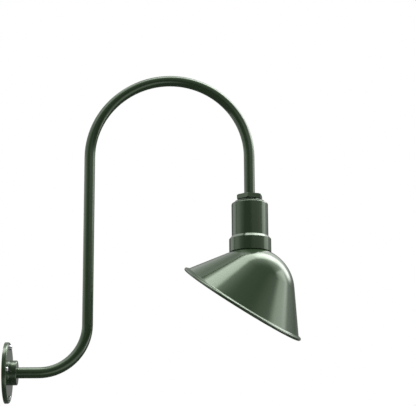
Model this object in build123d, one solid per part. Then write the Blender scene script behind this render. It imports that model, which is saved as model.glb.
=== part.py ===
from build123d import *
import os
from math import atan2, cos, radians, sin, sqrt, tan

# Gooseneck wall sconce, in millimetres.
# The origin is the centre of the wall plate's back face, +X points away from the wall and
# +Z is up. The bent arm lies in the XZ plane. Pieces of the wall end are drawn with +Z
# away from the wall and laid over; pieces of the lamp head are drawn round the arm's
# lower end and then turned to the direction in which the shade is aimed.

# clearances
fit_gap = 0.05  # a thread or a push fit, on the radius
slip_gap = 0.2  # a loose fit inside one body, on the radius
move_gap = 0.3  # between pieces that move against each other

# gooseneck arm
tube_d = 21.3
tube_wall = 2.0
reach = 475.3  # from the wall to the lamp head's axis
lower_bend_r = 92.9
leg_top = 431.2  # height at which both legs meet the half circle
upper_bend_r = 159.0
arm_in_hub = 14.0
arm_in_head = 18.0

# wall plate
plate_d = 118.0
plate_t = 8.5
plate_wall = 2.9
plate_rim = 5.5
plate_edge_r = 3.0
hub_d = 47.8
hub_reach = 23.5
hub_edge_r = 1.5
hub_root_r = 1.2
chamber_d = 38.0
plate_screw_inset = 10.0  # from the plate's edge
plate_screw_count = 4
plate_screw_d = 5.0
plate_hole_d = 5.5
plate_boss_d = 10.5
screw_head_d = 9.4
screw_head_h = 3.2
screw_head_edge_r = 1.4
drive_len = 5.0
drive_w = 1.1
drive_depth = 1.6

# mounting ring behind the plate
ring_t = 2.5
ring_bore_d = 36.0
box_circle_d = 88.9
box_hole_count = 4
box_hole_d = 4.8
ground_reach = 33.0
ground_angle = 22.5
ground_d = 3.8
ground_head_d = 7.0
ground_head_h = 2.2
ground_slot_w = 1.0
ground_slot_depth = 1.0

# foam seal in the plate's rim
seal_inset = 1.7  # from the hollow's edge
seal_w = 2.2
seal_t = 1.5

# screw that locks the arm in the hub
lock_d = 5.0
lock_len = 9.0
lock_reach = 16.5
lock_socket_af = 2.5
lock_socket_depth = 3.0

# leads through the arm
sleeve_d = 7.2
cap_d = 6.6
cap_len = 14.0
cap_edge_r = 2.0
cap_start = 11.0
bushing_flange_t = 2.0
bushing_inset = 0.35  # of the flange, from the tube's outside
bushing_plug_len = 8.0
sleeve_tail = 1.0
lead_d = 2.6
lead_pitch = 3.8
lead_bend_r = 3.5
lead_straight = 0.4

# locknut
nut_af = 46.8
nut_h = 12.4
nut_turn = 20.0  # degrees that a corner is turned from +X towards +Y
nut_chamfer = 1.5
nut_face_d = 38.0  # the round washer face under the nut
nut_face_h = 3.6

# socket housing
head_drop = 93.2  # from the legs' top to the housing's top
housing_d = 72.4
housing_wall = 3.7
step_inset = 6.5
step_h = 3.7
step_edge_r = 0.8
shoulder_r = 3.5
ceiling_t = 5.3
boss_d = 34.0
lug_w = 12.0
lug_depth = 9.0
lug_hole_in = 3.5  # from the lug's inner face

# collar that holds the shade
collar_wall = 5.1  # over the housing
collar_h = 31.5
collar_drop = 72.0  # from the housing's top to the collar's top
collar_bevel_w = 4.2
collar_bevel_h = 5.2
collar_foot_r = 0.5
ledge_h = 8.3
collar_skin = 1.8
gasket_t = 2.0
gasket_w = 6.3

# shade
dome_r = 85.4
cone_angle = 53.4  # of the straight wall, from the plane of the mouth
rim_drop = 33.4  # from the dome's centre to the plane of the mouth
shade_wall = 1.2
neck_flange_w = 2.4
flare_r = 6.0
flange_w = 0.25
bead_d = 6.0
shade_tilt = 35.0
shade_aim = 22.7  # how far the shade is turned from square to the wall
seat_gap = 1.4  # between the collar's outer edge and the dome

# lamp socket
bracket_drop = 34.0  # from the housing's top to the bracket's top face
bracket_t = 1.5
bracket_w = 16.0
bracket_end_gap = 2.0  # to the housing's wall
bracket_screw_d = 3.8
bracket_screw_len = 10.0
small_head_d = 6.4
small_head_h = 2.2
small_slot_w = 0.9
small_slot_depth = 0.9
socket_d = 39.0
socket_h = 54.0
socket_edge_r = 1.5
socket_groove_w = 3.0
socket_groove_depth = 1.0
socket_screw_apart = 22.0
socket_screw_d = 3.4
socket_screw_len = 10.0
socket_bore_depth = 27.5
shell_wall = 0.6
shell_len = 20.0
shell_inset = 2.0
tongue_len = 16.0
tongue_w = 5.0
tongue_t = 0.6
flat_depth = 1.5
flat_h = 20.0
flat_w = 14.0
terminal_w = 8.0
terminal_h = 14.0
terminal_t = 1.2
terminal_drop = 12.5
terminal_screw_d = 3.0
terminal_screw_len = 5.0

# bulb
bulb_d = 60.0
bulb_len = 84.0  # glass below the cap's edge
glass_wall = 0.8
cement_gap = 0.4  # between the glass and the cap
glass_in_cap = 5.0
glass_straight = 3.0
cap_shell_d = 26.0
cap_shell_h = 18.5
cap_shell_wall = 0.6
insulator_d = 18.0
insulator_h = 2.5
insulator_edge = 1.8
contact_d = 8.4
contact_h = 1.5
stem_flare_h = 1.5
stem_d = 6.0
stem_len = 30.0
filament_d = 0.8
filament_half = 9.0
filament_drop = 18.0
filament_leg = 2.0
filament_bend_r = 2.0

# places worked out from the sizes above
tube_r = tube_d / 2
tube_bore_r = tube_r - tube_wall
arm_start = hub_reach - arm_in_hub
leg_x = reach - 2 * upper_bend_r
stub_end = leg_x - lower_bend_r  # where the level run from the wall ends
housing_top = leg_top - head_drop
arm_end = housing_top - arm_in_head
step_d = housing_d - 2 * step_inset
housing_bore_d = housing_d - 2 * housing_wall
collar_d = housing_d + 2 * slip_gap + 2 * collar_wall
collar_r = collar_d / 2
collar_recess_d = collar_d - 2 * collar_skin
shade_flange_d = collar_recess_d - 2 * move_gap
shade_neck_d = shade_flange_d - 2 * neck_flange_w
gasket_d = shade_flange_d - slip_gap
gasket_bore_d = gasket_d - 2 * gasket_w
collar_top = housing_top - collar_drop
collar_foot = collar_top - collar_h
ledge_top = collar_foot + ledge_h
gasket_foot = ledge_top + shade_wall
housing_foot = gasket_foot + gasket_t
dome_z = collar_foot - seat_gap - sqrt(dome_r**2 - collar_r**2)
bracket_top = housing_top - bracket_drop
bracket_len = housing_bore_d - 2 * bracket_end_gap
lug_inner = housing_bore_d / 2 - lug_depth
bracket_screw_y = lug_inner + lug_hole_in
socket_top = bracket_top - bracket_t
socket_foot = socket_top - socket_h
socket_screw_y = socket_screw_apart / 2
shell_bore_d = cap_shell_d + 2 * move_gap
tongue_lift = cap_shell_h + insulator_h + contact_h + move_gap
flat_x = socket_d / 2 - flat_depth
sleeve_end = arm_end - bushing_flange_t - sleeve_tail
lead_level = bracket_top + small_head_h + lead_d
lead_fork = lead_level + lead_bend_r + lead_straight
plate_cavity = plate_t - plate_wall
recess_r = plate_d / 2 - plate_rim
plate_screw_circle_d = plate_d - 2 * plate_screw_inset
seal_inner_d = 2 * (recess_r + seal_inset)
bushing_flange_d = tube_d - 2 * bushing_inset
glass_neck_d = cap_shell_d - 2 * cap_shell_wall - 2 * cement_gap
stem_flare_d = glass_neck_d - 2 * glass_wall - 2 * move_gap
cone = radians(cone_angle)

same_size = 0.01  # two sizes closer than this are one size
over_cut = 1.0  # how far a cut runs past the face it opens

LOW = (Align.CENTER, Align.CENTER, Align.MIN)


def disc(diameter, low, high):
    """Round bar from one height to another."""
    return Pos(0, 0, low) * Cylinder(diameter / 2, high - low, align=LOW)


def pipe(outer_d, inner_d, low, high):
    """Round tube from one height to another."""
    return disc(outer_d, low, high) - disc(inner_d, low, high)


def block(x, y, z, low):
    """Rectangular bar that stands on a height."""
    return Pos(0, 0, low) * Box(x, y, z, align=LOW)


def turned(*edges):
    """Solid of revolution about Z of a closed outline of radius and height."""
    return revolve(Plane.XZ * make_face(Curve() + list(edges)), Axis.Z)


def rim_edges(part, radius, height):
    """The circular edges of a part with one radius at one height."""
    circles = part.edges().filter_by(GeomType.CIRCLE)
    return [e for e in circles
            if abs(e.radius - radius) < same_size and abs(e.arc_center.Z - height) < same_size]


def on_wall(part):
    """Lay a piece drawn with +Z outwards against the wall."""
    return Rot(0, 90, 0) * part


def on_head(part):
    """Hang a piece of the lamp head on the arm's lower end, aimed with the shade."""
    return Pos(reach, 0, 0) * Rot(0, 0, -shade_aim) * part


def under_arm(part):
    """Put a piece on the axis of the arm's lower end."""
    return Pos(reach, 0, 0) * part


def group(parts):
    """Several solids as one sub-part."""
    return Compound([solid for part in parts for solid in part.solids()])


def slotted_head(diameter, height, slot_w, slot_depth):
    """Round screw head that stands on Z = 0, with a straight slot."""
    head = disc(diameter, 0, height)
    return head - block(diameter + over_cut, slot_w, slot_depth, height - slot_depth)


# wall end

def wall_plate():
    """Cast cup with a hub in front, bosses for its screws and a groove for its seal."""
    plate = disc(plate_d, 0, plate_t)
    plate = fillet(rim_edges(plate, plate_d / 2, plate_t), plate_edge_r)
    hub = disc(hub_d, 0, hub_reach)
    hub = fillet(rim_edges(hub, hub_d / 2, hub_reach), hub_edge_r)
    plate = plate + hub
    plate = fillet(rim_edges(plate, hub_d / 2, plate_t), hub_root_r)
    cavity = disc(2 * recess_r, 0, plate_cavity) - disc(hub_d, ring_t, plate_cavity)
    for spot in PolarLocations(plate_screw_circle_d / 2, plate_screw_count):
        cavity = cavity - spot * disc(plate_boss_d, ring_t, plate_cavity)
    plate = plate - cavity
    plate = plate - disc(chamber_d, 0, arm_start)
    plate = plate - disc(tube_d + 2 * fit_gap, arm_start, hub_reach)
    for spot in PolarLocations(plate_screw_circle_d / 2, plate_screw_count):
        plate = plate - spot * disc(plate_hole_d, 0, plate_t)
    plate = plate - pipe(seal_inner_d + 2 * seal_w, seal_inner_d, 0, seal_t)
    lock_hole = Cylinder(lock_d / 2 + fit_gap, hub_d / 2, align=LOW)
    return on_wall(plate - Pos(0, 0, lock_reach) * Rot(0, 90, 0) * lock_hole)


def mounting_ring():
    """Flat steel ring: tapped for the plate's screws, drilled for an outlet box."""
    ring = pipe(2 * (recess_r - slip_gap), ring_bore_d, 0, ring_t)
    for spot in PolarLocations(plate_screw_circle_d / 2, plate_screw_count):
        ring = ring - spot * disc(plate_screw_d + 2 * fit_gap, 0, ring_t)
    for spot in PolarLocations(box_circle_d / 2, box_hole_count, 180 / box_hole_count):
        ring = ring - spot * disc(box_hole_d, 0, ring_t)
    ground_spot = PolarLocations(ground_reach, 1, ground_angle).locations[0]
    return on_wall(ring - ground_spot * disc(ground_d + 2 * fit_gap, 0, ring_t))


def plate_screws():
    """Pan-head screws with a cross recess."""
    head = disc(screw_head_d, plate_t, plate_t + screw_head_h)
    head = fillet(rim_edges(head, screw_head_d / 2, plate_t + screw_head_h), screw_head_edge_r)
    recess_foot = plate_t + screw_head_h - drive_depth
    head = head - block(drive_len, drive_w, drive_depth, recess_foot)
    head = head - block(drive_w, drive_len, drive_depth, recess_foot)
    screw = head + disc(plate_screw_d, 0, plate_t)
    spots = PolarLocations(plate_screw_circle_d / 2, plate_screw_count)
    return group([on_wall(spot * screw) for spot in spots])


def plate_seal():
    """Foam ring in the plate's rim."""
    outer_d = seal_inner_d + 2 * seal_w
    return on_wall(pipe(outer_d - 2 * fit_gap, seal_inner_d + 2 * fit_gap, 0, seal_t))


def hub_set_screw():
    """Headless screw under the hub, which bears on the arm."""
    screw = disc(lock_d, 0, lock_len)
    socket = extrude(RegularPolygon(lock_socket_af / 2, 6, major_radius=False), lock_socket_depth)
    screw = screw - Pos(0, 0, lock_len - lock_socket_depth) * socket
    return on_wall(Pos(tube_r + fit_gap, 0, lock_reach) * Rot(0, 90, 0) * screw)


def ground_screw():
    """Green slotted screw for the supply's earth wire, on the mounting ring."""
    head = slotted_head(ground_head_d, ground_head_h, ground_slot_w, ground_slot_depth)
    screw = Pos(0, 0, ring_t) * head + disc(ground_d, 0, ring_t)
    ground_spot = PolarLocations(ground_reach, 1, ground_angle).locations[0]
    return on_wall(ground_spot * screw)


def splice_caps():
    """Closed caps on the leads' wall end, side by side in the arm."""
    cap = disc(cap_d, cap_start, cap_start + cap_len)
    cap = fillet(rim_edges(cap, cap_d / 2, cap_start), cap_edge_r)
    apart = (cap_d + slip_gap) / 2
    return group([on_wall(Pos(0, side * apart, 0) * cap) for side in (-1, 1)])


# arm

def arm_route(start, end):
    """Centre line of the arm from a distance off the wall to a height at its far end."""
    level = Line((start, 0, 0), (stub_end, 0, 0))
    part_r = lower_bend_r * cos(radians(45))
    elbow = ThreePointArc((stub_end, 0, 0),
                          (stub_end + part_r, 0, lower_bend_r - part_r),
                          (leg_x, 0, lower_bend_r))
    leg = Line((leg_x, 0, lower_bend_r), (leg_x, 0, leg_top))
    arch = ThreePointArc((leg_x, 0, leg_top),
                         (leg_x + upper_bend_r, 0, leg_top + upper_bend_r),
                         (reach, 0, leg_top))
    drop = Line((reach, 0, leg_top), (reach, 0, end))
    return Wire([level, elbow, leg, arch, drop])


def arm_tube():
    """The bent tube."""
    wall = Circle(tube_r) - Circle(tube_bore_r)
    return sweep(Plane(origin=(arm_start, 0, 0), z_dir=(1, 0, 0)) * wall,
                 arm_route(arm_start, arm_end))


def lead_sleeve():
    """The leads in their sleeve, along the arm's centre line."""
    start = cap_start + cap_len + move_gap
    round_face = Plane(origin=(start, 0, 0), z_dir=(1, 0, 0)) * Circle(sleeve_d / 2)
    return sweep(round_face, arm_route(start, sleeve_end))


def tube_bushing():
    """Flanged plastic bushing in the arm's lower end."""
    flange_foot = arm_end - bushing_flange_t
    bush = disc(bushing_flange_d, flange_foot, arm_end)
    bush = bush + disc(2 * (tube_bore_r - fit_gap), flange_foot, arm_end + bushing_plug_len)
    bore_d = sleeve_d + 2 * slip_gap
    return under_arm(bush - disc(bore_d, flange_foot, arm_end + bushing_plug_len))


def locknut():
    """Six-sided nut on the arm's thread, with turned corners and a round washer face."""
    foot = housing_top + move_gap
    hex_foot = foot + nut_face_h
    top = foot + nut_h
    outline = RegularPolygon(nut_af / 2, 6, major_radius=False, rotation=nut_turn)
    nut = Pos(0, 0, hex_foot) * extrude(outline, top - hex_foot)
    corner_r = nut_af / 2 / cos(radians(30))
    envelope = disc(2 * corner_r, hex_foot, top)
    envelope = chamfer(rim_edges(envelope, corner_r, hex_foot)
                       + rim_edges(envelope, corner_r, top), nut_chamfer)
    nut = (nut & envelope) + disc(nut_face_d, foot, hex_foot)
    return under_arm(nut - disc(tube_d + 2 * fit_gap, foot, top))


# lamp head

def socket_housing():
    """Cast cup that turns on the arm's end, with a boss round the arm and two lugs."""
    step_foot = housing_top - step_h
    body = disc(housing_d, housing_foot, step_foot)
    body = fillet(rim_edges(body, housing_d / 2, step_foot), shoulder_r)
    step = disc(step_d, step_foot, housing_top)
    step = fillet(rim_edges(step, step_d / 2, housing_top), step_edge_r)
    body = body + step
    ceiling = step_foot - ceiling_t
    body = body - disc(housing_bore_d, housing_foot, ceiling)
    boss_foot = arm_end - bushing_flange_t
    body = body + disc(boss_d, boss_foot, ceiling)
    body = body - disc(tube_d + 2 * fit_gap, boss_foot, housing_top)
    lug_len = housing_d / 2 - housing_wall / 2 - lug_inner
    for side in (-1, 1):
        lug = block(lug_w, lug_len, ceiling - bracket_top, bracket_top)
        body = body + Pos(0, side * (lug_inner + lug_len / 2), 0) * lug
        screw_hole = disc(bracket_screw_d + 2 * fit_gap, bracket_top,
                          bracket_top + bracket_screw_len)
        body = body - Pos(0, side * bracket_screw_y, 0) * screw_hole
    return on_head(body)


def shade_collar():
    """Ring screwed on the housing: its ledge carries the shade's rolled neck."""
    ring = disc(collar_d, collar_foot, collar_top)
    ring = chamfer(rim_edges(ring, collar_r, collar_top), collar_bevel_w, collar_bevel_h,
                   reference=ring.faces().sort_by(Axis.Z)[-1])
    ring = fillet(rim_edges(ring, collar_r, collar_foot), collar_foot_r)
    ring = ring - disc(shade_neck_d + 2 * slip_gap, collar_foot, ledge_top)
    ring = ring - disc(collar_recess_d, ledge_top, housing_foot)
    ring = ring - disc(housing_d + 2 * slip_gap, housing_foot, collar_top)
    return on_head(ring - tilted(dome_form(move_gap)))


def collar_gasket():
    """Rubber ring that the housing presses on the shade's rolled neck."""
    return on_head(pipe(gasket_d, gasket_bore_d, gasket_foot, housing_foot))


def tilted(part):
    """Tip a piece drawn about the shade's own axis, with its centre at the dome's."""
    return Pos(0, 0, dome_z) * Rot(0, shade_tilt, 0) * part


def cone_radius(height, offset):
    """Radius of the straight wall at a height above the dome's centre."""
    return (dome_r + offset - height * cos(cone)) / sin(cone)


def dome_arc(radius):
    """Arc of the dome from its top to where the straight wall leaves it."""
    half = cone / 2
    return ThreePointArc((0, radius),
                         (radius * sin(half), radius * cos(half)),
                         (radius * sin(cone), radius * cos(cone)))


def dome_form(offset):
    """The shade's outer form as a closed solid, swollen or shrunk by an offset."""
    radius = dome_r + offset
    foot = -rim_drop
    walls = Polyline((radius * sin(cone), radius * cos(cone)),
                     (cone_radius(foot, offset), foot), (0, foot), (0, radius))
    return turned(dome_arc(radius), walls)


def shade():
    """Spun shell: dome, straight wall, flare, rolled bead and a neck with a flange."""
    flare_top = -rim_drop + bead_d
    corner_r = cone_radius(flare_top, 0)
    tangent = flare_r * tan(cone / 2)
    bead_x = corner_r + tangent + flange_w
    flare_x = corner_r + tangent
    flare_z = flare_top + flare_r
    half = cone / 2

    def flare(radius):
        """Arc from the straight wall to the flange, about the flare's centre."""
        return ThreePointArc(
            (flare_x - radius * sin(cone), flare_z - radius * cos(cone)),
            (flare_x - radius * sin(half), flare_z - radius * cos(half)),
            (flare_x, flare_z - radius))

    inner_r = dome_r - shade_wall
    outer_flare = flare(flare_r)
    inner_flare = flare(flare_r + shade_wall)
    shell = turned(
        dome_arc(dome_r), Line(dome_arc(dome_r) @ 1, outer_flare @ 0), outer_flare,
        Polyline(outer_flare @ 1, (bead_x, flare_top), (bead_x, flare_top - shade_wall),
                 inner_flare @ 1),
        inner_flare, Line(inner_flare @ 0, dome_arc(inner_r) @ 1), dome_arc(inner_r),
        Line((0, inner_r), (0, dome_r)))
    bead = Pos(0, 0, flare_top - bead_d / 2) * Torus(bead_x, bead_d / 2)
    shell = tilted(shell + bead)
    neck_bore_d = shade_neck_d - 2 * shade_wall
    shell = shell - disc(neck_bore_d, dome_z, housing_top)
    neck = pipe(shade_neck_d, neck_bore_d, dome_z, gasket_foot) - tilted(dome_form(-shade_wall))
    flange = pipe(shade_flange_d, neck_bore_d, ledge_top, gasket_foot)
    return on_head(shell + neck + flange)


# lamp socket, inside the housing

def socket_bracket():
    """Flat bar across the housing, under its two lugs."""
    bar = block(bracket_w, bracket_len, bracket_t, socket_top)
    for side in (-1, 1):
        lug_hole = disc(bracket_screw_d + 2 * fit_gap, socket_top, bracket_top)
        bar = bar - Pos(0, side * bracket_screw_y, 0) * lug_hole
        socket_hole = disc(socket_screw_d + 2 * fit_gap, socket_top, bracket_top)
        bar = bar - Pos(0, side * socket_screw_y, 0) * socket_hole
    return on_head(bar)


def bracket_screws():
    """Two screws from below, through the bar into the lugs."""
    head = slotted_head(small_head_d, small_head_h, small_slot_w, small_slot_depth)
    screw = Pos(0, 0, socket_top) * Rot(180, 0, 0) * head
    screw = screw + disc(bracket_screw_d, socket_top, bracket_top + bracket_screw_len)
    return group([on_head(Pos(0, side * bracket_screw_y, 0) * screw) for side in (-1, 1)])


def socket_screws():
    """Two screws from above, through the bar into the porcelain."""
    head = slotted_head(small_head_d, small_head_h, small_slot_w, small_slot_depth)
    screw = Pos(0, 0, bracket_top) * head
    screw = screw + disc(socket_screw_d, socket_top - socket_screw_len, bracket_top)
    return group([on_head(Pos(0, side * socket_screw_y, 0) * screw) for side in (-1, 1)])


def socket_body():
    """Porcelain body, open below, with a flat for each terminal."""
    body = disc(socket_d, socket_foot, socket_top)
    body = fillet(rim_edges(body, socket_d / 2, socket_foot), socket_edge_r)
    groove_z = socket_foot + socket_h / 2
    body = body - pipe(socket_d + over_cut, socket_d - 2 * socket_groove_depth,
                       groove_z, groove_z + socket_groove_w)
    shell_seat_d = shell_bore_d + 2 * shell_wall + 2 * slip_gap
    body = body - disc(shell_seat_d, socket_foot, socket_foot + socket_bore_depth)
    for side in (-1, 1):
        flat_t = socket_d / 2 - flat_x
        flat = block(2 * flat_t, flat_w, flat_h, socket_top - flat_h)
        body = body - Pos(side * (flat_x + flat_t), 0, 0) * flat
        screw_hole = Cylinder(terminal_screw_d / 2 + fit_gap, terminal_screw_len, align=LOW)
        inner_end = flat_x - terminal_screw_len
        body = body - facing(side, inner_end, screw_hole)
        socket_hole = disc(socket_screw_d + 2 * fit_gap, socket_top - socket_screw_len, socket_top)
        body = body - Pos(0, side * socket_screw_y, 0) * socket_hole
    return on_head(body)


def facing(side, distance, part):
    """Point a piece drawn along +Z out of the socket's side, at the terminals' height."""
    return Pos(side * distance, 0, socket_top - terminal_drop) * Rot(0, side * 90, 0) * part


def screw_shell():
    """Brass shell that the bulb's cap turns into."""
    low = socket_foot + shell_inset
    return on_head(pipe(shell_bore_d + 2 * shell_wall, shell_bore_d, low, low + shell_len))


def centre_contact():
    """Brass tongue over the bulb's tip, with a foot on the socket's floor."""
    low = socket_foot + tongue_lift
    tongue = block(tongue_len, tongue_w, tongue_t, low)
    foot = block(tongue_t, tongue_w, socket_bore_depth - tongue_lift, low)
    return on_head(tongue + Pos((tongue_len - tongue_t) / 2, 0, 0) * foot)


def terminal_plates():
    """A brass plate on each side of the socket."""
    plates = []
    for side in (-1, 1):
        plate = Box(terminal_h, terminal_w, terminal_t, align=LOW)
        plate = plate - Cylinder(terminal_screw_d / 2 + fit_gap, terminal_t, align=LOW)
        plates.append(on_head(facing(side, flat_x, plate)))
    return group(plates)


def terminal_screws():
    """A slotted screw in each terminal plate."""
    screws = []
    for side in (-1, 1):
        head = slotted_head(small_head_d, small_head_h, small_slot_w, small_slot_depth)
        shank_len = terminal_screw_len + terminal_t
        screw = head + Pos(0, 0, -shank_len) * Cylinder(terminal_screw_d / 2, shank_len, align=LOW)
        screws.append(on_head(facing(side, flat_x + terminal_t, screw)))
    return group(screws)


def head_sleeve():
    """The leads' sleeve below the swivel."""
    return on_head(disc(sleeve_d, lead_fork, sleeve_end - move_gap))


def socket_lead(side):
    """One lead: out of the sleeve, over the bracket and down to its terminal screw."""
    outer_x = flat_x + terminal_t + lead_d / 2 + fit_gap
    end_z = socket_top - terminal_drop + small_head_d / 2 + slip_gap
    route = FilletPolyline((side * lead_pitch / 2, 0, lead_fork),
                           (side * lead_pitch / 2, 0, lead_level),
                           (side * outer_x, 0, lead_level),
                           (side * outer_x, 0, end_z), radius=lead_bend_r)
    return on_head(sweep(Plane(route @ 0, z_dir=route % 0) * Circle(lead_d / 2), route))


def line_lead():
    """Lead to the terminal of the centre contact."""
    return socket_lead(1)


def neutral_lead():
    """Lead to the terminal of the screw shell."""
    return socket_lead(-1)


# bulb, drawn down from the socket's lower edge

def bulb_outline(inset):
    """Neck, hollow shoulder and ball of the glass, each set in by a thickness."""
    neck_r = glass_neck_d / 2
    ball_r = bulb_d / 2
    ball_z = ball_r - bulb_len
    rise = -glass_straight - ball_z
    shoulder_q = (neck_r**2 + rise**2 - ball_r**2) / (2 * (ball_r - neck_r))
    centre_x = neck_r + shoulder_q
    lean = atan2(rise, centre_x)
    arc_r = shoulder_q + inset
    round_r = ball_r - inset
    low = (lean - radians(90)) / 2
    neck = Line((neck_r - inset, glass_in_cap), (neck_r - inset, -glass_straight))
    touch = (round_r * cos(lean), ball_z + round_r * sin(lean))
    hollow = ThreePointArc(
        (neck_r - inset, -glass_straight),
        (centre_x - arc_r * cos(lean / 2), -glass_straight - arc_r * sin(lean / 2)), touch)
    ball = ThreePointArc(touch, (round_r * cos(low), ball_z + round_r * sin(low)),
                         (0, ball_z - round_r))
    return [neck, hollow, ball]


def in_socket(part):
    """Hang a piece of the bulb from the socket's lower edge."""
    return under_arm(Pos(0, 0, socket_foot) * part)


def bulb_glass():
    """Hollow glass envelope, open at its neck."""
    outer = bulb_outline(0)
    inner = bulb_outline(glass_wall)
    foot = Line(outer[2] @ 1, inner[2] @ 1)
    lip = Line(outer[0] @ 0, inner[0] @ 0)
    return in_socket(turned(*outer, foot, *inner, lip))


def bulb_cap():
    """Thin metal cap, open below, with a hole for the tip."""
    cap = disc(cap_shell_d, 0, cap_shell_h)
    cap = chamfer(rim_edges(cap, cap_shell_d / 2, cap_shell_h), cap_shell_wall)
    bore = disc(cap_shell_d - 2 * cap_shell_wall, 0, cap_shell_h - 2 * cap_shell_wall)
    hole = disc(contact_d / 2, 0, cap_shell_h)
    return in_socket(cap - bore - hole)


def bulb_insulator():
    """Black glass button between the cap and the tip."""
    low = cap_shell_h
    button = disc(insulator_d, low, low + insulator_h)
    top = rim_edges(button, insulator_d / 2, low + insulator_h)
    return in_socket(chamfer(top, insulator_edge))


def bulb_contact():
    """Tip contact."""
    low = cap_shell_h + insulator_h
    tip = disc(contact_d, low, low + contact_h)
    return in_socket(fillet(rim_edges(tip, contact_d / 2, low + contact_h), contact_h / 2))


def bulb_stem():
    """Glass stem with its flare sealed in the neck."""
    flare_foot = glass_in_cap - stem_flare_h
    flare = disc(stem_flare_d, flare_foot, glass_in_cap)
    return in_socket(flare + disc(stem_d, glass_in_cap - stem_len, glass_in_cap))


def bulb_filament():
    """Support wires and filament in one bent wire under the stem."""
    top = glass_in_cap - stem_len
    leg = top - filament_leg
    low = top - filament_drop
    wire = FilletPolyline((-stem_d / 4, 0, top), (-stem_d / 4, 0, leg), (-filament_half, 0, low),
                          (filament_half, 0, low), (stem_d / 4, 0, leg), (stem_d / 4, 0, top),
                          radius=filament_bend_r)
    return in_socket(sweep(Plane(wire @ 0, z_dir=wire % 0) * Circle(filament_d / 2), wire))


def write_parts():
    """Write one STEP file for each sub-part."""
    os.makedirs("parts", exist_ok=True)
    makers = [
        wall_plate, mounting_ring, plate_screws, plate_seal, hub_set_screw, ground_screw,
        splice_caps, arm_tube, lead_sleeve, tube_bushing, locknut, socket_housing,
        shade_collar, collar_gasket, shade, socket_bracket, bracket_screws, socket_screws,
        socket_body, screw_shell, centre_contact, terminal_plates, terminal_screws,
        head_sleeve, line_lead, neutral_lead, bulb_glass, bulb_cap, bulb_insulator,
        bulb_contact, bulb_stem, bulb_filament]
    for maker in makers:
        part = maker()
        part.label = maker.__name__
        export_step(part, f"parts/{maker.__name__}.step")


write_parts()
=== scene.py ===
import math

import bpy
from mathutils import Matrix, Vector

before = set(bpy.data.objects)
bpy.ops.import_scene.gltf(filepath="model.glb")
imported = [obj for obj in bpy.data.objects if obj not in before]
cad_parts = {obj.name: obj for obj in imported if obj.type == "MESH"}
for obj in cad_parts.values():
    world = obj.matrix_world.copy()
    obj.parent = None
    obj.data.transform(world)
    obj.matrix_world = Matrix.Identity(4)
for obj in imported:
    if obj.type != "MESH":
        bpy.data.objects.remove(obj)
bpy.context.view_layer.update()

bl_info = {
    "name": "Gooseneck wall light",
    "version": (1, 0, 0),
    "blender": (4, 5, 0),
    "location": "3D View > Sidebar > Wall light",
    "description": "Paint, enamel, glass and studio for a gooseneck wall light",
    "category": "Object",
}

# places on the lamp head, in metres and radians
HEAD_X = 0.4753
DOME_CENTRE = (HEAD_X, 0.0, 0.15846)
SHADE_TILT = math.radians(35.0)
SHADE_AIM = math.radians(22.7)
BEAD_INNER_R = 0.1276

# the outside paint: tint and strength of its reflections, and on castings its added
# roughness and how much higher its waves are
PAINT_SHEEN = (0.825, 1.0, 0.77)
PAINT_SPECULAR = 0.751
CAST_ROUGHER = 0.03
CAST_WAVES = 1.6

# how much the enamel's shade changes, and the refraction of the bulb's glass
ENAMEL_CHANGE = 0.05
GLASS_IOR = 1.47

# finishes of the inner pieces and the screws: name, colour, roughness, how else it differs
# from a plain finish, and the pieces that have it
INNER_FINISHES = (
    ("Zinc plating", (0.60, 0.61, 0.62), 0.32,
     {"change": 0.2, "rough_change": 0.2, "patch": 150.0, "grain": 1500.0, "metallic": 1.0},
     ("mounting_ring", "socket_bracket", "bracket_screws", "socket_screws", "plate_screws")),
    ("Black oxide", (0.03, 0.03, 0.032), 0.4,
     {"change": 0.2, "grain": 1500.0, "metallic": 1.0}, ("hub_set_screw",)),
    ("Green plating", (0.03, 0.22, 0.07), 0.35,
     {"change": 0.2, "metallic": 1.0}, ("ground_screw",)),
    ("Brass", (0.72, 0.50, 0.20), 0.28,
     {"change": 0.25, "rough_change": 0.15, "patch": 90.0, "grain": 1200.0, "metallic": 1.0},
     ("screw_shell", "centre_contact", "terminal_plates", "terminal_screws")),
    ("Porcelain glaze", (0.82, 0.81, 0.77), 0.18,
     {"change": 0.05, "patch": 60.0, "grain": 300.0}, ("socket_body",)),
    ("Foam", (0.03, 0.03, 0.03), 0.9,
     {"change": 0.4, "grain": 2500.0, "height": 0.0002}, ("plate_seal",)),
    ("Rubber", (0.035, 0.035, 0.035), 0.6,
     {"change": 0.2, "grain": 900.0}, ("collar_gasket",)),
    ("Nylon", (0.74, 0.72, 0.64), 0.45, {"change": 0.05}, ("tube_bushing",)),
    ("Fibre sleeve", (0.05, 0.05, 0.05), 0.8,
     {"change": 0.4, "grain": 3000.0, "height": 0.0002}, ("lead_sleeve", "head_sleeve")),
    ("Black insulation", (0.02, 0.02, 0.02), 0.4, {"change": 0.1}, ("line_lead",)),
    ("White insulation", (0.78, 0.78, 0.75), 0.4, {"change": 0.05}, ("neutral_lead",)),
    ("Splice cap", (0.72, 0.71, 0.66), 0.3, {"change": 0.05}, ("splice_caps",)),
)

# finishes of the bulb, laid out in the same way
BULB_FINISHES = (
    ("Bulb glass", (0.97, 0.97, 0.95), 0.02,
     {"change": 0.01, "rough_change": 0.01, "height": 0.000005}, ("bulb_glass", "bulb_stem")),
    ("Aluminium cap", (0.76, 0.76, 0.77), 0.3,
     {"change": 0.15, "metallic": 1.0}, ("bulb_cap",)),
    ("Black glass", (0.012, 0.012, 0.014), 0.12, {"change": 0.1}, ("bulb_insulator",)),
    ("Solder", (0.5, 0.5, 0.5), 0.45, {"change": 0.3, "metallic": 1.0}, ("bulb_contact",)),
    ("Tungsten", (0.30, 0.30, 0.31), 0.35, {"change": 0.2, "metallic": 1.0},
     ("bulb_filament",)),
)

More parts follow.
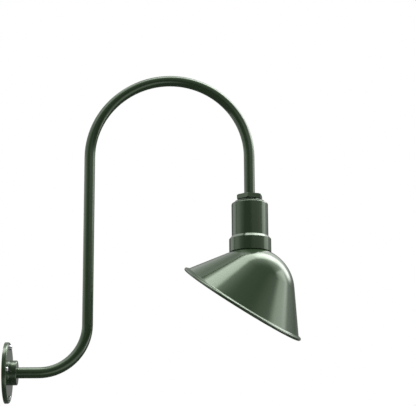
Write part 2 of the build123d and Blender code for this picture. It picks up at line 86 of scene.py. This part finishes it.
# the studio: each soft box's name, azimuth and elevation in degrees, half width and half
# height and the widths of its soft edges as slopes, roll in degrees, and level
SOFT_BOXES = (
    ("Overhead", -124.9, 85.7, (0.192, 0.223), (0.115, 0.250), 0.5, 4.17),
    ("Strip", 52.4, 49.4, (0.165, 0.588), (0.220, 0.250), 2.7, 5.05),
    ("High", 53.2, 66.5, (0.168, 0.320), (0.069, 0.050), 9.0, 1.69),
    ("Right", 83.8, 23.8, (0.251, 0.207), (0.220, 0.050), 0.7, 2.41),
    ("Left", -81.8, -2.5, (0.813, 0.357), (0.718, 0.131), 0.5, 0.86),
    ("Right veil", 56.2, 40.7, (0.565, 0.331), (0.211, 0.800), 30.9, 1.99),
    ("Left veil", -41.0, 55.3, (0.656, 0.109), (0.321, 0.222), 41.6, 0.88),
    ("Low right", 84.6, -12.7, (0.294, 0.158), (0.247, 0.179), 45.0, 2.49),
    ("Left wall", -91.7, 43.7, (0.949, 0.558), (0.800, 0.172), 2.9, 0.72),
    ("Back wall right", 122.8, 21.5, (1.046, 0.182), (0.800, 0.238), -7.0, 0.57),
    ("Ceiling veil", -138.7, 82.3, (0.240, 1.055), (0.800, 0.800), -25.2, 1.97),
    ("Top back", 11.3, 74.5, (0.260, 0.270), (0.120, 0.120), 5.7, 0.86),
    ("Low front", 134.9, -37.5, (0.902, 0.213), (0.650, 0.782), 8.7, 1.38),
)
BACKDROP = ("Backdrop", 0.0, 2.0, (0.50, 0.16), (0.30, 0.12), 0.0, 0.30)
LEAST_AHEAD = 0.001  # keeps a soft box's slopes finite behind its face

# the room round the soft boxes: its level towards the camera's side and the far side, the
# parts of Y between which it changes, what it gains towards the ceiling, and its level
# below, with the parts of Z between which that begins
ROOM_FRONT, ROOM_BACK = 0.093, 0.160
ROOM_FRONT_Y, ROOM_BACK_Y = -0.80, 0.20
ROOM_CEILING = 0.364
ROOM_FLOOR = 0.140
ROOM_FLOOR_LOW, ROOM_FLOOR_HIGH = -0.14, -0.02

# the floor: its width and place in metres, its paper's darkest and palest grey, the grey
# with which it lights the object, its roughness and the fineness of its fibres
FLOOR_SIZE = 12.0
FLOOR_X = 0.3
PAPER_DARK, PAPER_PALE = 0.41, 0.43
PAPER_BOUNCE = 0.18
PAPER_ROUGHNESS = 0.9
PAPER_FIBRES = 40.0

# the camera: its sensor's width in millimetres, and how far it sees in metres
SENSOR_WIDTH = 36.0
CLIP_END = 50.0


class PaintSettings(bpy.types.PropertyGroup):
    """Paint outside and enamel inside."""
    paint: bpy.props.FloatVectorProperty(
        name="Paint", description="Colour of the outside paint", subtype="COLOR",
        size=3, min=0.0, max=1.0, default=(0.0245, 0.0478, 0.0208))
    enamel: bpy.props.FloatVectorProperty(
        name="Enamel", description="Colour of the shade's inside", subtype="COLOR",
        size=3, min=0.0, max=1.0, default=(0.80, 0.79, 0.74))
    gloss: bpy.props.FloatProperty(
        name="Paint roughness", description="Roughness of the outside paint",
        min=0.0, max=1.0, default=0.12)
    peel: bpy.props.FloatProperty(
        name="Orange peel", description="Height of the waves in the dried paint",
        unit="LENGTH", min=0.0, default=0.000006)


class StageSettings(bpy.types.PropertyGroup):
    """Camera and floor."""
    eye: bpy.props.FloatVectorProperty(
        name="Camera", description="Where the camera stands", subtype="TRANSLATION",
        unit="LENGTH", size=3, default=(0.3914, -2.9377, -0.4093))
    pitch: bpy.props.FloatProperty(
        name="Look up", description="How far the camera looks up", subtype="ANGLE",
        default=math.radians(14.2307))
    yaw: bpy.props.FloatProperty(
        name="Turn", description="How far the camera is turned to the right", subtype="ANGLE",
        default=math.radians(0.0256))
    roll: bpy.props.FloatProperty(
        name="Roll", description="How far the camera leans", subtype="ANGLE",
        default=math.radians(-0.3277))
    lens: bpy.props.FloatProperty(
        name="Focal length", description="Focal length on a 36 mm wide sensor, in millimetres",
        min=1.0, default=132.354)
    floor_z: bpy.props.FloatProperty(
        name="Floor", description="Height of the floor", unit="LENGTH", default=-0.75)


def grey(level):
    """A grey as a colour."""
    return (level, level, level, 1.0)


def add(tree, kind, inputs=None, **settings):
    """Add a node, set its options and connect or set its inputs."""
    node = tree.nodes.new(kind)
    for key, value in settings.items():
        setattr(node, key, value)
    for key, value in (inputs or {}).items():
        if isinstance(value, bpy.types.NodeSocket):
            tree.links.new(value, node.inputs[key])
        else:
            node.inputs[key].default_value = value
    return node


def add_group(tree, group, inputs):
    """Place a node group in a tree with its own values."""
    return add(tree, "ShaderNodeGroup", inputs, node_tree=group)


def dot(tree, way, axis):
    """How far a direction goes along an axis."""
    return add(tree, "ShaderNodeVectorMath", {0: way, 1: axis},
               operation="DOT_PRODUCT").outputs["Value"]


def largest(tree, *values):
    """The largest of some values."""
    total = values[0]
    for value in values[1:]:
        total = add(tree, "ShaderNodeMath", {0: total, 1: value}, operation="MAXIMUM").outputs[0]
    return total


def new_material(name):
    """An empty material, its node tree and its shader."""
    material = bpy.data.materials.new(name)
    material.use_nodes = True
    return material, material.node_tree, material.node_tree.nodes["Principled BSDF"]


def new_group(name, inputs, outputs):
    """A node group with named sockets; returns it with its input and output nodes."""
    group = bpy.data.node_groups.new(name, "ShaderNodeTree")
    for label, kind, value in inputs:
        socket = group.interface.new_socket(label, in_out="INPUT", socket_type=kind)
        socket.default_value = value
    for label, kind in outputs:
        group.interface.new_socket(label, in_out="OUTPUT", socket_type=kind)
    return group, group.nodes.new("NodeGroupInput"), group.nodes.new("NodeGroupOutput")


def mottle_group():
    """Slow and fine changes of a finish: a shade of its colour, a roughness and a height."""
    if "Mottle" in bpy.data.node_groups:
        return bpy.data.node_groups["Mottle"]
    group, given, out = new_group(
        "Mottle",
        [("Colour", "NodeSocketColor", grey(0.5)),
         ("Change", "NodeSocketFloat", 0.1),
         ("Roughness", "NodeSocketFloat", 0.3),
         ("Roughness change", "NodeSocketFloat", 0.05),
         ("Patch scale", "NodeSocketFloat", 20.0),
         ("Grain scale", "NodeSocketFloat", 600.0)],
        [("Colour", "NodeSocketColor"), ("Roughness", "NodeSocketFloat"),
         ("Height", "NodeSocketFloat")])
    place = add(group, "ShaderNodeTexCoord").outputs["Object"]
    patch = add(group, "ShaderNodeTexNoise",
                {"Vector": place, "Scale": given.outputs["Patch scale"], "Detail": 3.0})
    grain = add(group, "ShaderNodeTexNoise",
                {"Vector": place, "Scale": given.outputs["Grain scale"], "Detail": 2.0})
    lean = add(group, "ShaderNodeMath", {0: patch.outputs["Fac"], 1: 0.5}, operation="SUBTRACT")
    shift = add(group, "ShaderNodeMath",
                {0: lean.outputs[0], 1: given.outputs["Change"], 2: 1.0}, operation="MULTIPLY_ADD")
    tint = add(group, "ShaderNodeVectorMath",
               {0: given.outputs["Colour"], "Scale": shift.outputs[0]}, operation="SCALE")
    rough = add(group, "ShaderNodeMath",
                {0: lean.outputs[0], 1: given.outputs["Roughness change"],
                 2: given.outputs["Roughness"]}, operation="MULTIPLY_ADD")
    group.links.new(tint.outputs[0], out.inputs["Colour"])
    group.links.new(rough.outputs[0], out.inputs["Roughness"])
    group.links.new(grain.outputs["Fac"], out.inputs["Height"])
    return group


def finish(name, colour, roughness, change=0.1, rough_change=0.05, patch=20.0, grain=600.0,
           height=0.00002, metallic=0.0, sheen=(1.0, 1.0, 1.0), specular=0.5):
    """A material with a mottled finish; returns it with its tree, shader and mottle."""
    material, tree, shader = new_material(name)
    mottle = add_group(tree, mottle_group(), {
        "Colour": (*colour, 1.0), "Change": change, "Roughness": roughness,
        "Roughness change": rough_change, "Patch scale": patch, "Grain scale": grain})
    bump = add(tree, "ShaderNodeBump",
               {"Height": mottle.outputs["Height"], "Distance": height, "Strength": 1.0})
    tree.links.new(mottle.outputs["Colour"], shader.inputs["Base Color"])
    tree.links.new(mottle.outputs["Roughness"], shader.inputs["Roughness"])
    tree.links.new(bump.outputs["Normal"], shader.inputs["Normal"])
    shader.inputs["Specular Tint"].default_value = (*sheen, 1.0)
    shader.inputs["Specular IOR Level"].default_value = specular
    shader.inputs["Metallic"].default_value = metallic
    return material, tree, shader, mottle


def outside_paint(name, settings, patch, grain, change=0.08, rougher=0.0, waves=1.0):
    """The outside paint on one kind of surface, returned as finish returns it."""
    return finish(name, settings.paint, settings.gloss + rougher, change=change, patch=patch,
                  grain=grain, height=settings.peel * waves, sheen=PAINT_SHEEN,
                  specular=PAINT_SPECULAR)


def coat(names, material):
    """Give CAD pieces one material in all their slots."""
    for name in names:
        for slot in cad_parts[name].material_slots:
            slot.material = material


class PaintOutside(bpy.types.Operator):
    """Paint the wall plate, the arm, the nut, the housing and the collar"""
    bl_idname = "wall_light.paint_outside"
    bl_label = "Paint the outside"

    def execute(self, context):
        settings = context.scene.wall_light_paint
        cast = outside_paint("Paint on cast metal", settings, patch=35.0, grain=420.0,
                             change=0.12, rougher=CAST_ROUGHER, waves=CAST_WAVES)[0]
        tube = outside_paint("Paint on tube", settings, patch=14.0, grain=520.0)[0]
        coat(("wall_plate", "socket_housing", "locknut"), cast)
        coat(("arm_tube", "shade_collar"), tube)
        return {"FINISHED"}


def shade_axis():
    """Direction of the shade's own axis, from its mouth to its crown."""
    tipped = Vector((math.sin(SHADE_TILT), 0.0, math.cos(SHADE_TILT)))
    return Matrix.Rotation(-SHADE_AIM, 3, "Z") @ tipped


def shade_inside(tree):
    """1 on the shade's inside, 0 on its outside and its bead."""
    place = add(tree, "ShaderNodeTexCoord")
    centred = add(tree, "ShaderNodeVectorMath",
                  {0: place.outputs["Object"], 1: DOME_CENTRE}, operation="SUBTRACT")
    axis = shade_axis()
    up = add(tree, "ShaderNodeVectorMath",
             {0: axis, "Scale": dot(tree, centred.outputs[0], axis)}, operation="SCALE")
    across = add(tree, "ShaderNodeVectorMath",
                 {0: centred.outputs[0], 1: up.outputs[0]}, operation="DISTANCE")
    turned_in = add(tree, "ShaderNodeMath",
                    {0: dot(tree, place.outputs["Normal"], axis), 1: 0.0},
                    operation="LESS_THAN")
    within = add(tree, "ShaderNodeMath",
                 {0: across.outputs["Value"], 1: BEAD_INNER_R}, operation="LESS_THAN")
    inside = add(tree, "ShaderNodeMath",
                 {0: turned_in.outputs[0], 1: within.outputs[0]}, operation="MULTIPLY")
    return inside.outputs[0]


class EnamelShade(bpy.types.Operator):
    """Green outside and white inside on the shade, which meet under its bead"""
    bl_idname = "wall_light.enamel_shade"
    bl_label = "Enamel the shade"

    def execute(self, context):
        settings = context.scene.wall_light_paint
        material, tree, shader, green = outside_paint(
            "Enamel on the shade", settings, patch=12.0, grain=500.0)
        white = add_group(tree, mottle_group(),
                          {"Colour": (*settings.enamel, 1.0), "Change": ENAMEL_CHANGE})
        colour = add(tree, "ShaderNodeMix",
                     {"Factor": shade_inside(tree)}, data_type="RGBA")
        tree.links.new(green.outputs["Colour"], colour.inputs["A"])
        tree.links.new(white.outputs["Colour"], colour.inputs["B"])
        tree.links.new(colour.outputs["Result"], shader.inputs["Base Color"])
        coat(("shade",), material)
        return {"FINISHED"}


class DressInside(bpy.types.Operator):
    """Plating, brass, glaze, plastic and rubber for what is inside, and for the screws"""
    bl_idname = "wall_light.dress_inside"
    bl_label = "Dress the inner pieces"

    def execute(self, context):
        for name, colour, roughness, more, pieces in INNER_FINISHES:
            coat(pieces, finish(name, colour, roughness, **more)[0])
        return {"FINISHED"}


class DressBulb(bpy.types.Operator):
    """Glass, cap, tip and filament of the bulb"""
    bl_idname = "wall_light.dress_bulb"
    bl_label = "Dress the bulb"

    def execute(self, context):
        for name, colour, roughness, more, pieces in BULB_FINISHES:
            material, _, shader, _ = finish(name, colour, roughness, **more)
            if "bulb_glass" in pieces:
                shader.inputs["Transmission Weight"].default_value = 1.0
                shader.inputs["IOR"].default_value = GLASS_IOR
            coat(pieces, material)
        return {"FINISHED"}


def sky_way(azimuth, elevation):
    """The direction at an azimuth from +Y towards +X and an elevation, in degrees."""
    turn, lift = math.radians(azimuth), math.radians(elevation)
    return Vector((math.sin(turn) * math.cos(lift), math.cos(turn) * math.cos(lift),
                   math.sin(lift)))


def fade(tree, ahead, sideways, half, edge):
    """1 within a soft box's half width and 0 beyond it, with a soft edge."""
    slope = add(tree, "ShaderNodeMath", {0: sideways, 1: ahead}, operation="DIVIDE")
    off = add(tree, "ShaderNodeMath", {0: slope.outputs[0]}, operation="ABSOLUTE")
    return add(tree, "ShaderNodeMapRange",
               {"Value": off.outputs[0], "From Min": half, "From Max": edge,
                "To Min": 1.0, "To Max": 0.0}, interpolation_type="SMOOTHSTEP").outputs[0]


def soft_box_group():
    """A soft box far away: its level towards a direction."""
    group, given, out = new_group(
        "Soft box",
        [("Way", "NodeSocketVector", (0.0, 0.0, 1.0)),
         ("Centre", "NodeSocketVector", (0.0, 0.0, 1.0)),
         ("Across", "NodeSocketVector", (1.0, 0.0, 0.0)),
         ("Along", "NodeSocketVector", (0.0, 1.0, 0.0)),
         ("Full half width", "NodeSocketFloat", 0.2), ("Half width", "NodeSocketFloat", 0.3),
         ("Full half height", "NodeSocketFloat", 0.2), ("Half height", "NodeSocketFloat", 0.3),
         ("Level", "NodeSocketFloat", 1.0)],
        [("Level", "NodeSocketFloat")])
    way = given.outputs["Way"]
    ahead = largest(group, dot(group, way, given.outputs["Centre"]), LEAST_AHEAD)
    wide = fade(group, ahead, dot(group, way, given.outputs["Across"]),
                given.outputs["Full half width"], given.outputs["Half width"])
    high = fade(group, ahead, dot(group, way, given.outputs["Along"]),
                given.outputs["Full half height"], given.outputs["Half height"])
    both = add(group, "ShaderNodeMath", {0: wide, 1: high}, operation="MULTIPLY")
    level = add(group, "ShaderNodeMath", {0: both.outputs[0], 1: given.outputs["Level"]},
                operation="MULTIPLY")
    group.links.new(level.outputs[0], out.inputs["Level"])
    return group


def soft_box(tree, group, way, box):
    """Add one soft box to the studio."""
    name, azimuth, elevation, size, edge, roll, level = box
    centre = sky_way(azimuth, elevation)
    level_way = sky_way(azimuth + 90.0, 0.0)
    spin = Matrix.Rotation(math.radians(roll), 3, centre)
    node = add_group(tree, group, {
        "Way": way, "Centre": centre, "Across": spin @ level_way,
        "Along": spin @ level_way.cross(centre),
        "Full half width": size[0] - edge[0] / 2, "Half width": size[0] + edge[0] / 2,
        "Full half height": size[1] - edge[1] / 2, "Half height": size[1] + edge[1] / 2,
        "Level": level})
    node.label = name
    return node.outputs["Level"]


def room(tree, way):
    """Level of the dim room round the soft boxes."""
    parts = add(tree, "ShaderNodeSeparateXYZ", {0: way})
    walls = add(tree, "ShaderNodeMapRange",
                {"Value": parts.outputs["Y"], "From Min": ROOM_FRONT_Y, "From Max": ROOM_BACK_Y,
                 "To Min": ROOM_FRONT, "To Max": ROOM_BACK}, interpolation_type="SMOOTHSTEP")
    above = add(tree, "ShaderNodeMath",
                {0: largest(tree, parts.outputs["Z"], 0.0), 1: ROOM_CEILING,
                 2: walls.outputs["Result"]}, operation="MULTIPLY_ADD")
    low = add(tree, "ShaderNodeMapRange",
              {"Value": parts.outputs["Z"], "From Min": ROOM_FLOOR_LOW,
               "From Max": ROOM_FLOOR_HIGH, "To Min": 1.0, "To Max": 0.0},
              interpolation_type="SMOOTHSTEP")
    return add(tree, "ShaderNodeMix",
               {"Factor": low.outputs["Result"], "A": above.outputs[0], "B": ROOM_FLOOR},
               data_type="FLOAT").outputs["Result"]


def surround(scene):
    """A dim room with soft boxes, and a white backdrop."""
    world = bpy.data.worlds.new("Studio")
    world.use_nodes = True
    scene.world = world
    tree = world.node_tree
    way = add(tree, "ShaderNodeTexCoord").outputs["Generated"]
    total = room(tree, way)
    group = soft_box_group()
    for box in SOFT_BOXES:
        level = soft_box(tree, group, way, box)
        total = add(tree, "ShaderNodeMath", {0: total, 1: level}, operation="ADD").outputs[0]
    path = add(tree, "ShaderNodeLightPath")
    glossy = add(tree, "ShaderNodeMath",
                 {0: soft_box(tree, group, way, BACKDROP), 1: path.outputs["Is Glossy Ray"]},
                 operation="MULTIPLY")
    lit = largest(tree, total, glossy.outputs[0], path.outputs["Is Transmission Ray"])
    seen = add(tree, "ShaderNodeMix",
               {"Factor": path.outputs["Is Camera Ray"], "A": lit, "B": 1.0}, data_type="FLOAT")
    back = tree.nodes["Background"]
    back.inputs["Color"].default_value = grey(1.0)
    tree.links.new(seen.outputs["Result"], back.inputs["Strength"])


def view_matrix(settings):
    """The camera's place and turn."""
    pitch, yaw, roll = settings.pitch, settings.yaw, settings.roll
    ahead = Vector((math.sin(yaw) * math.cos(pitch), math.cos(yaw) * math.cos(pitch),
                    math.sin(pitch)))
    right = Vector((math.cos(yaw), -math.sin(yaw), 0.0))
    up = right.cross(ahead)
    side = right * math.cos(roll) + up * math.sin(roll)
    top = up * math.cos(roll) - right * math.sin(roll)
    turn = Matrix((side, top, -ahead)).transposed().to_4x4()
    return Matrix.Translation(settings.eye) @ turn


def set_camera(scene, settings):
    """Put the camera where the settings say and look through it."""
    lens = bpy.data.cameras.new("Camera")
    lens.lens = settings.lens
    lens.sensor_width = SENSOR_WIDTH
    lens.clip_end = CLIP_END
    camera = bpy.data.objects.new("Camera", lens)
    scene.collection.objects.link(camera)
    camera.matrix_world = view_matrix(settings)
    scene.camera = camera


def paper_floor():
    """Pale paper, which lights the object less than it shows."""
    paper, tree, shader = new_material("Paper floor")
    place = add(tree, "ShaderNodeTexCoord").outputs["Object"]
    fibres = add(tree, "ShaderNodeTexNoise", {"Vector": place, "Scale": PAPER_FIBRES})
    tone = add(tree, "ShaderNodeMix",
               {"Factor": fibres.outputs["Fac"]}, data_type="RGBA")
    tone.inputs["A"].default_value = grey(PAPER_DARK)
    tone.inputs["B"].default_value = grey(PAPER_PALE)
    path = add(tree, "ShaderNodeLightPath")
    seen = largest(tree, path.outputs["Is Camera Ray"], path.outputs["Is Glossy Ray"],
                   path.outputs["Is Transmission Ray"])
    shown = add(tree, "ShaderNodeMix", {"Factor": seen}, data_type="RGBA")
    shown.inputs["A"].default_value = grey(PAPER_BOUNCE)
    tree.links.new(tone.outputs["Result"], shown.inputs["B"])
    tree.links.new(shown.outputs["Result"], shader.inputs["Base Color"])
    shader.inputs["Roughness"].default_value = PAPER_ROUGHNESS
    return paper


def deselect_all():
    """Leave nothing selected and no piece active."""
    for piece in bpy.context.selected_objects:
        piece.select_set(False)
    bpy.context.view_layer.objects.active = None


class SetStage(bpy.types.Operator):
    """Camera, soft boxes, white surroundings and floor"""
    bl_idname = "wall_light.set_stage"
    bl_label = "Set the stage"

    def execute(self, context):
        scene = context.scene
        settings = scene.wall_light_stage
        set_camera(scene, settings)
        scene.view_settings.view_transform = "Standard"
        surround(scene)
        deselect_all()
        bpy.ops.mesh.primitive_plane_add(
            size=FLOOR_SIZE, location=(FLOOR_X, 0.0, settings.floor_z))
        floor = context.active_object
        floor.name = "Floor"
        bpy.ops.object.transform_apply(location=True, rotation=True, scale=True)
        floor.data.materials.append(paper_floor())
        floor.visible_glossy = False
        return {"FINISHED"}


class WallLightPanel(bpy.types.Panel):
    """Sizes, colours and steps of the wall light"""
    bl_idname = "VIEW3D_PT_wall_light"
    bl_label = "Wall light"
    bl_space_type = "VIEW_3D"
    bl_region_type = "UI"
    bl_category = "Wall light"

    def draw(self, context):
        for settings in (context.scene.wall_light_paint, context.scene.wall_light_stage):
            box = self.layout.box()
            for name in settings.__annotations__:
                box.prop(settings, name)
        for step in STEPS:
            self.layout.operator(step.bl_idname)


STEPS = (PaintOutside, EnamelShade, DressInside, DressBulb, SetStage)
CLASSES = (PaintSettings, StageSettings, *STEPS, WallLightPanel)


def register():
    """Add the classes and their settings."""
    for item in CLASSES:
        bpy.utils.register_class(item)
    bpy.types.Scene.wall_light_paint = bpy.props.PointerProperty(type=PaintSettings)
    bpy.types.Scene.wall_light_stage = bpy.props.PointerProperty(type=StageSettings)


def unregister():
    """Take the classes and their settings away."""
    del bpy.types.Scene.wall_light_stage
    del bpy.types.Scene.wall_light_paint
    for item in reversed(CLASSES):
        bpy.utils.unregister_class(item)


def main():
    """Dress every piece and set the stage."""
    register()
    bpy.ops.wall_light.paint_outside()
    bpy.ops.wall_light.enamel_shade()
    bpy.ops.wall_light.dress_inside()
    bpy.ops.wall_light.dress_bulb()
    bpy.ops.wall_light.set_stage()


if __name__ == "__main__":
    main()
